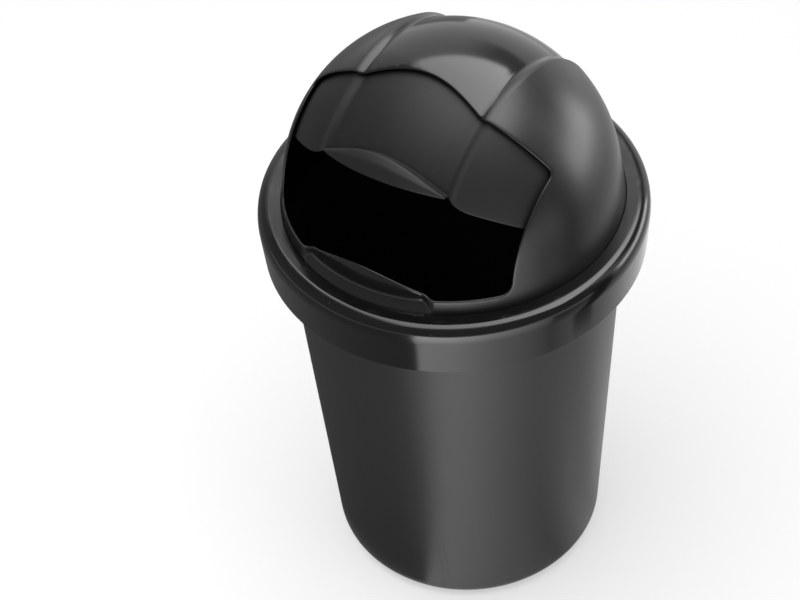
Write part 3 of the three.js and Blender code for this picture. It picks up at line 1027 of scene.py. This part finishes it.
boss_section = box_section(0.0043, 0.009, flap_radius + run_gap, dome_radius - 0.00125, 0.0003)
dome_parts = [dome_wall_part()]
for mirror in (1, -1):
    section = [(radius, mirror * along) for radius, along in boss_section]
    dome_parts.append(spun_part(section, 48))
dome = mesh_piece("dome_shell", dome_parts, plastics["dome"])
finish_piece(dome, "lid", "dome_plastic", "dome")

# %% [markdown]
# ## The flap
# The flap is a second ball inside the first. Its outline follows the crest of the grip lip in the
# middle, falls in an S to a level lower edge at the sides, and narrows to an ear with a hub at each
# end of the pivot axis. It is drawn closed and raised to the pose of the picture.

# %% Draw the flap on the map

lip_inset, lip_gap, lip_swell = millimetres(1.0, 2.0, 4.7)
lip_half = band_half - lip_inset
lip_reach = flap_gap + dome_wall + lip_gap + flap_wall + lip_swell
lip_wall_angle = flap_wall / reach_at(0.0, dome_radius)
lip_gap_angle = lip_gap / reach_at(0.0, dome_radius)
lip_lift, lip_low = math.radians(0.8), math.radians(1.0)
flap_overlap, notch_width, ear_run = millimetres(6.5, 30.0, 10.0)
flap_half = mouth_half + mouth_flare + flap_overlap
flap_low_edge, flap_top_edge = math.radians(-0.3), math.radians(84.0)
ear_low, ear_high, ear_end = math.radians(18.0), math.radians(64.0), math.radians(87.4)


def lip_share(x):
    return min(abs(x) / lip_half, 1.0)


def lip_crest_at(x):
    return mouth_low_at(x) + lip_gap_angle + lip_wall_angle + lip_lift * lip_share(x) ** 2


def lip_low_at(x):
    end = lip_crest_at(lip_half) - 1.2 * lip_wall_angle
    return lip_low + (end - lip_low) * lip_share(x) ** 2


def flap_outline():
    half = []
    for step in range(33):
        x = lip_half * step / 32
        half.append((x, lip_crest_at(x), 0.0))
    notch_top = lip_crest_at(lip_half)
    for step in range(1, 13):
        share = step / 12
        left = (1 - share) ** 3
        angle = flap_low_edge + (notch_top - flap_low_edge) * left
        half.append((lip_half + notch_width * share, angle, 0.0))
    neck, tip = flap_half + ear_run, flap_radius * math.sin(ear_end)
    half += [
        (flap_half, flap_low_edge, 0.004),
        (neck, ear_low, 0.004),
        (tip, ear_low, 0.0),
        (tip, ear_high, 0.0),
        (neck, ear_high, 0.004),
        (flap_half, flap_top_edge, 0.004),
        (0.0, flap_top_edge, 0.0),
    ]
    other = [(-x, angle, rounding) for x, angle, rounding in reversed(half[1:-1])]
    return rounded_outline(half + other, flap_radius, MAP_STEP)


flap_ring = flap_outline()
print("flap outline:", len(flap_ring), "points")

# %% Make the flap's wall

flap_crease = side_of(band_half, flap_radius)
flap_crease_width = crease_half * 1.15 / flap_radius / math.cos(flap_crease)
flap_columns = grid_lines(-math.radians(88), math.radians(88), 0.0042 / flap_radius,
                          [(-flap_crease, flap_crease_width, 21), (flap_crease, flap_crease_width, 21)])
flap_rows = grid_lines(flap_low_edge, flap_top_edge, 0.0042 / flap_radius)


def flap_wall_part():
    vertices, faces, _, _ = wall_from_map(
        flap_radius, flap_wall, flap_ring, False, flap_columns, flap_rows, flap_rest)
    return vertices, faces


# %% [markdown]
# The grip lip is a loft: a section across the lip, drawn at many places along it. The section is a
# hollow shelf that swells out from the flap to a rounded ridge and turns down to a lower edge. Its
# corners are rounded on the section itself, because the ridge is the brightest line of the flap.

# %% Loft the grip lip


def rounded_section(corners, steps=5):
    """A closed section from corners (out, angle, rounding as a share of the shorter side)."""
    made = []
    count = len(corners)
    for number, (out, angle, share) in enumerate(corners):
        here = Vector((out, angle))
        if not share:
            made.append(here)
            continue
        before = Vector(corners[number - 1][:2])
        after = Vector(corners[(number + 1) % count][:2])
        start, end = here.lerp(before, share), here.lerp(after, share)
        for step in range(steps + 1):
            t = step / steps
            made.append(start * (1 - t) ** 2 + here * (2 * t * (1 - t)) + end * t ** 2)
    return made


def lip_section(x):
    surface = reach_at(x, flap_radius)
    crest, low = lip_crest_at(x), lip_low_at(x)
    ridge = low + 0.56 * (crest - low)
    reach = lip_reach * (1 - lip_share(x) ** 2) ** 0.2
    wall = lip_wall_angle
    root = crest + 2 * wall
    outer, inner = surface - flap_wall / 5, surface - flap_wall * 4 / 5
    corners = [
        (outer, root, 0.0),
        (outer, crest, 0.35),
        (surface + reach * 0.76, crest - wall / 4, 0.35),
        (surface + reach * 0.88, (crest + ridge) / 2, 0.3),
        (surface + reach, ridge, 0.42),
        (surface + reach * 0.975, (ridge + low) / 2, 0.3),
        (surface + reach * 0.95, low, 0.4),
        (surface + reach * 0.95 - flap_wall, low, 0.3),
        (surface + reach - flap_wall, ridge, 0.3),
        (surface + reach * 0.76 - flap_wall / 2, max(crest - wall, ridge), 0.3),
        (inner, crest - wall, 0.3),
        (inner, root, 0.0),
    ]
    made = []
    for out, angle in rounded_section(corners):
        turned = angle + flap_rest
        made.append(Vector((x, -out * math.cos(turned), pivot_height + out * math.sin(turned))))
    return made


def lip_part():
    steps = 96
    turns = [math.pi * 0.94 * (i / steps - 0.5) for i in range(steps + 1)]
    sections = [lip_section(lip_half * math.sin(angle)) for angle in turns]
    across = len(sections[0])
    vertices = [point for section in sections for point in section]
    faces = []
    for i in range(steps):
        for j in range(across):
            k = (j + 1) % across
            faces.append((i * across + j, i * across + k, (i + 1) * across + k, (i + 1) * across + j))
    faces.append(tuple(range(across)))
    faces.append(tuple(reversed(range(steps * across, (steps + 1) * across))))
    return vertices, faces


hub_section = box_section(0.0044, 0.012, flap_radius - 0.0045, flap_radius, 0.0004)
flap_parts = [flap_wall_part(), lip_part()]
for mirror in (1, -1):
    section = [(radius, mirror * along) for radius, along in hub_section]
    flap_parts.append(spun_part(section, 64))
flap = mesh_piece("flap_panel", flap_parts, plastics["flap"])
finish_piece(flap, "flap", "flap_plastic", "flap")

# %% [markdown]
# ## The pivot pins
# A headed pin goes out through each hub into the dome's boss. Both are the same turned piece, so a
# tree turns the one section about the upright axis and two copies of its mesh are laid level.

# %% Make the pins

pin_low, pin_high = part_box("pivot_pin_right")
pin_sizes = {
    "Shank radius": 0.004,
    "Head radius": 0.008,
    "Head depth": 0.0025,
    "Length": pin_high.x - pin_low.x,
}


def pin_corners(size):
    return [
        (0.0, 0.0, 0.0, 1),
        (size["Head radius"], 0.0, 0.0008, 5),
        (size["Head radius"], size["Head depth"], 0.0004, 3),
        (size["Shank radius"], size["Head depth"], 0.0002, 2),
        (size["Shank radius"], size["Length"], 0.0006, 4),
        (0.0, size["Length"], 0.0, 1),
    ]


pin_tree = turned_tree("turned_pin", pin_sizes, pin_corners, closed=False)
for side, name in ((1, "pivot_pin_right"), (-1, "pivot_pin_left")):
    pin = turned_piece(name + "_turned", pin_tree, plastics["pin"], 64)
    low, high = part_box(name)
    head_x = low.x if side > 0 else high.x
    laid = Matrix.Translation((head_x, 0.0, pivot_height)) @ Matrix.Rotation(math.pi / 2 * side, 4, "Y")
    pin.data.transform(laid)
    finish_piece(pin, "lid", "pin_plastic", name)

# %% [markdown]
# ## Floor and light
# The picture shows a product on white. The floor is a large pale sheet, lit by a wide soft lamp
# overhead and by a pale world. Black plastic shows mostly what it mirrors, so the shapes of the
# lamps and of a few cards round the set matter more than their strength: they are seen in
# reflections alone, and leave the plain level of light on the object as it is.

# %% Lay the floor and set the world


def seen_directly(tree):
    """1 for rays from the camera, from reflections and through clear things, 0 for diffuse light."""
    rays = tree.nodes.new("ShaderNodeLightPath")
    seen = Wire(tree, rays.outputs["Is Camera Ray"])
    for label in ("Is Glossy Ray", "Is Transmission Ray"):
        seen = seen.most(Wire(tree, rays.outputs[label]))
    return seen


FLOOR_SIZE = 12.0
floor_mesh = bpy.data.meshes.new("floor")
half = FLOOR_SIZE / 2
floor_corners = [(-half, -half, 0), (half, -half, 0), (half, half, 0), (-half, half, 0)]
floor_mesh.from_pydata(floor_corners, [], [(0, 1, 2, 3)])
floor = new_object("floor", floor_mesh)
floor.location.z = -0.0002
floor_finish = Finish("pale_floor", index=1.45)
paper = floor_finish.noise(3.0, 2.0)
pale, paler = (0.93, 0.93, 0.93, 1.0), (0.95, 0.95, 0.95, 1.0)
floor_finish.set("Base Color", floor_finish.blend(paper, pale, paler))
floor_finish.set("Roughness", 0.9)
floor_finish.shader.inputs["Specular IOR Level"].default_value = 0.0
far_off = 0.45 + 0.55 * floor_finish.radius.step(0.4, 1.8)
floor_finish.glow_where(far_off * seen_directly(floor_finish.tree))
floor_mesh.materials.append(floor_finish.material)
floor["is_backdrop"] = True

world = bpy.data.worlds.new("pale_room")
bpy.context.scene.world = world
world.use_nodes = True
world_tree = world.node_tree
background = world_tree.nodes["Background"]
seen = seen_directly(world_tree)
ROOM_LEVEL = 0.62
background.inputs["Color"].default_value = (1.0, 1.0, 1.0, 1.0)
fill(world_tree, background.inputs["Strength"], ROOM_LEVEL + (1.0 - ROOM_LEVEL) * seen)
print("floor and world ready")

# %% [markdown]
# The lamps give the plain level. The cards give the reflections: a ceiling card with a soft left
# end, a window card at the right, dark cards where the room is dark, and rings just over the floor
# whose level changes with the turn. Turns are counted from the mouth towards +X, in degrees.

# %% Hang the lamps and stand the cards


def camera_side(across, toward, height):
    """A place given right of, towards and above the middle, as the camera stands."""
    return turn @ Vector((across, -toward, height))


def lamp(name, place, aim, size, radiance):
    """An area lamp whose face has the given radiance, and which isn't mirrored in the plastic."""
    data = bpy.data.lights.new(name, "AREA")
    data.shape = "RECTANGLE"
    data.size, data.size_y = size
    data.energy = radiance * math.pi * size[0] * size[1]
    made = bpy.data.objects.new(name, data)
    bpy.context.scene.collection.objects.link(made)
    away = (place - aim).normalized()
    level = Vector((0.0, 0.0, 1.0)).cross(away)
    level = level.normalized() if level.length > 1e-4 else turn @ Vector((1.0, 0.0, 0.0))
    top = away.cross(level)
    made.matrix_world = Matrix.Translation(place) @ Matrix((level, top, away)).transposed().to_4x4()
    made.visible_camera = False
    made.visible_glossy = False


DOME_MIDDLE = Vector((0.0, 0.0, pivot_height))
lamp("soft_key", camera_side(-0.35, 0.1, 2.3), DOME_MIDDLE, (2.4, 2.4), 2.2)
lamp("soft_fill", camera_side(1.7, 1.3, 1.3), DOME_MIDDLE, (1.2, 1.2), 1.0)


def level_at(levels, turn_deg):
    """The level at a turn, from a list of (turn, level) with straight stretches between them."""
    for (before, low), (after, high) in zip(levels, levels[1:]):
        if turn_deg <= after:
            share = (turn_deg - before) / (after - before)
            return low + (high - low) * share
    return levels[-1][1]


def glowing(name, vertices, faces, shades):
    """A card that glows only in reflections, with its own radiance at each vertex."""
    mesh = bpy.data.meshes.new(name)
    mesh.from_pydata(vertices, [], faces)
    shade = mesh.attributes.new("level", "FLOAT", "POINT")
    shade.data.foreach_set("value", shades)
    made = new_object(name, mesh)
    material = bpy.data.materials.new(name)
    material.use_nodes = True
    tree = material.node_tree
    tree.nodes.clear()
    level = add_node(tree, "ShaderNodeAttribute", {"attribute_name": "level"}, {}, 2)
    glow = add_node(tree, "ShaderNodeEmission", {}, {"Color": level, "Strength": 1.0})
    target = tree.nodes.new("ShaderNodeOutputMaterial")
    fill(tree, target.inputs["Surface"], glow)
    mesh.materials.append(material)
    for ray in ("camera", "diffuse", "transmission", "shadow", "volume_scatter"):
        setattr(made, "visible_" + ray, False)
    made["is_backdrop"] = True


def card(name, rings, levels, columns=48):
    """A curved card round the middle.

    rings are (radius, height, share of the level); levels are (turn in degrees, radiance).
    """
    vertices, faces, shades = [], [], []
    start, end = levels[0][0], levels[-1][0]
    across = len(rings)
    for step in range(columns + 1):
        turn_deg = start + (end - start) * step / columns
        angle = math.radians(turn_deg)
        for r, height, share in rings:
            vertices.append((r * math.sin(angle), -r * math.cos(angle), height))
            shades.append(level_at(levels, turn_deg) * share)
    for step in range(columns):
        for ring in range(across - 1):
            here = step * across + ring
            faces.append((here, here + 1, here + across + 1, here + across))
    glowing(name, vertices, faces, shades)


def flat_card(name, away, toward, height, levels):
    """A level card overhead; levels are (place right of the middle, radiance), left end first."""
    vertices, shades = [], []
    for across, level in levels:
        vertices += [camera_side(across, away, height), camera_side(across, toward, height)]
        shades += [level, level]
    faces = [(i, i + 1, i + 3, i + 2) for i in range(0, len(vertices) - 2, 2)]
    glowing(name, vertices, faces, shades)


def wall_rings(near, far, low, high):
    return ((near, low, 1.0), (far, high, 1.0))


def floor_rings(*shares):
    """Rings just over the floor, from shares of the level at growing distances."""
    return [(radius, 0.003, share) for radius, share in shares]


front_rings = floor_rings((0.155, 0.5), (0.40, 0.7), (0.65, 1.0), (1.1, 1.8), (1.9, 2.2), (5.0, 2.2))
right_rings = floor_rings((0.155, 1.3), (0.65, 1.1), (1.1, 0.8), (1.9, 0.5))
left_rings = floor_rings((0.155, 0.5), (0.65, 1.0), (5.0, 1.1))
ceiling_levels = ((-1.75, 0.15), (-0.62, 0.2), (-0.40, 3.5), (1.15, 5.9))
far_left_levels = ((-125.0, 0.9), (-105.0, 0.3), (-75.0, 0.25))
floor_right_levels = ((80.0, 0.3), (100.0, 0.6), (112.0, 0.5), (140.0, 0.85), (170.0, 0.9), (210.0, 0.9))

flat_card("ceiling_card", -1.45, 0.50, pivot_height + 1.45, ceiling_levels)
card("window_card", wall_rings(1.3, 1.3, 0.48, 0.92), ((120.0, 5.6), (158.0, 5.0)))
card("dark_card_front", wall_rings(0.50, 0.55, 0.0, 0.60), ((95.0, 0.05), (108.0, 0.1)))
card("dark_card_room", wall_rings(2.4, 2.0, 0.55, 4.9), ((-75.0, 0.25), (118.0, 0.2)))
card("dark_card_far_left", wall_rings(2.6, 2.2, 0.3, 3.2), far_left_levels)
card("dark_card_back", wall_rings(2.4, 2.1, 1.5, 3.2), ((140.0, 0.2), (188.0, 0.3), (206.0, 1.0)))
card("floor_card_left", left_rings, ((-150.0, 0.3), (-100.0, 0.2), (-50.0, 0.25), (12.0, 0.22)))
card("floor_card_front", front_rings, ((12.0, 2.8), (30.0, 2.5), (52.0, 1.5), (80.0, 0.55)))
card("floor_card_right", right_rings, floor_right_levels)
print("lamps and cards ready")

# %% [markdown] ## Colour management and the last check The Standard view shows colours as they are
# written.

# %% Finish

bpy.context.scene.view_settings.view_transform = "Standard"
low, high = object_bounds()
print("visual box in metres:", [round(v, 4) for v in (*low, *high)])
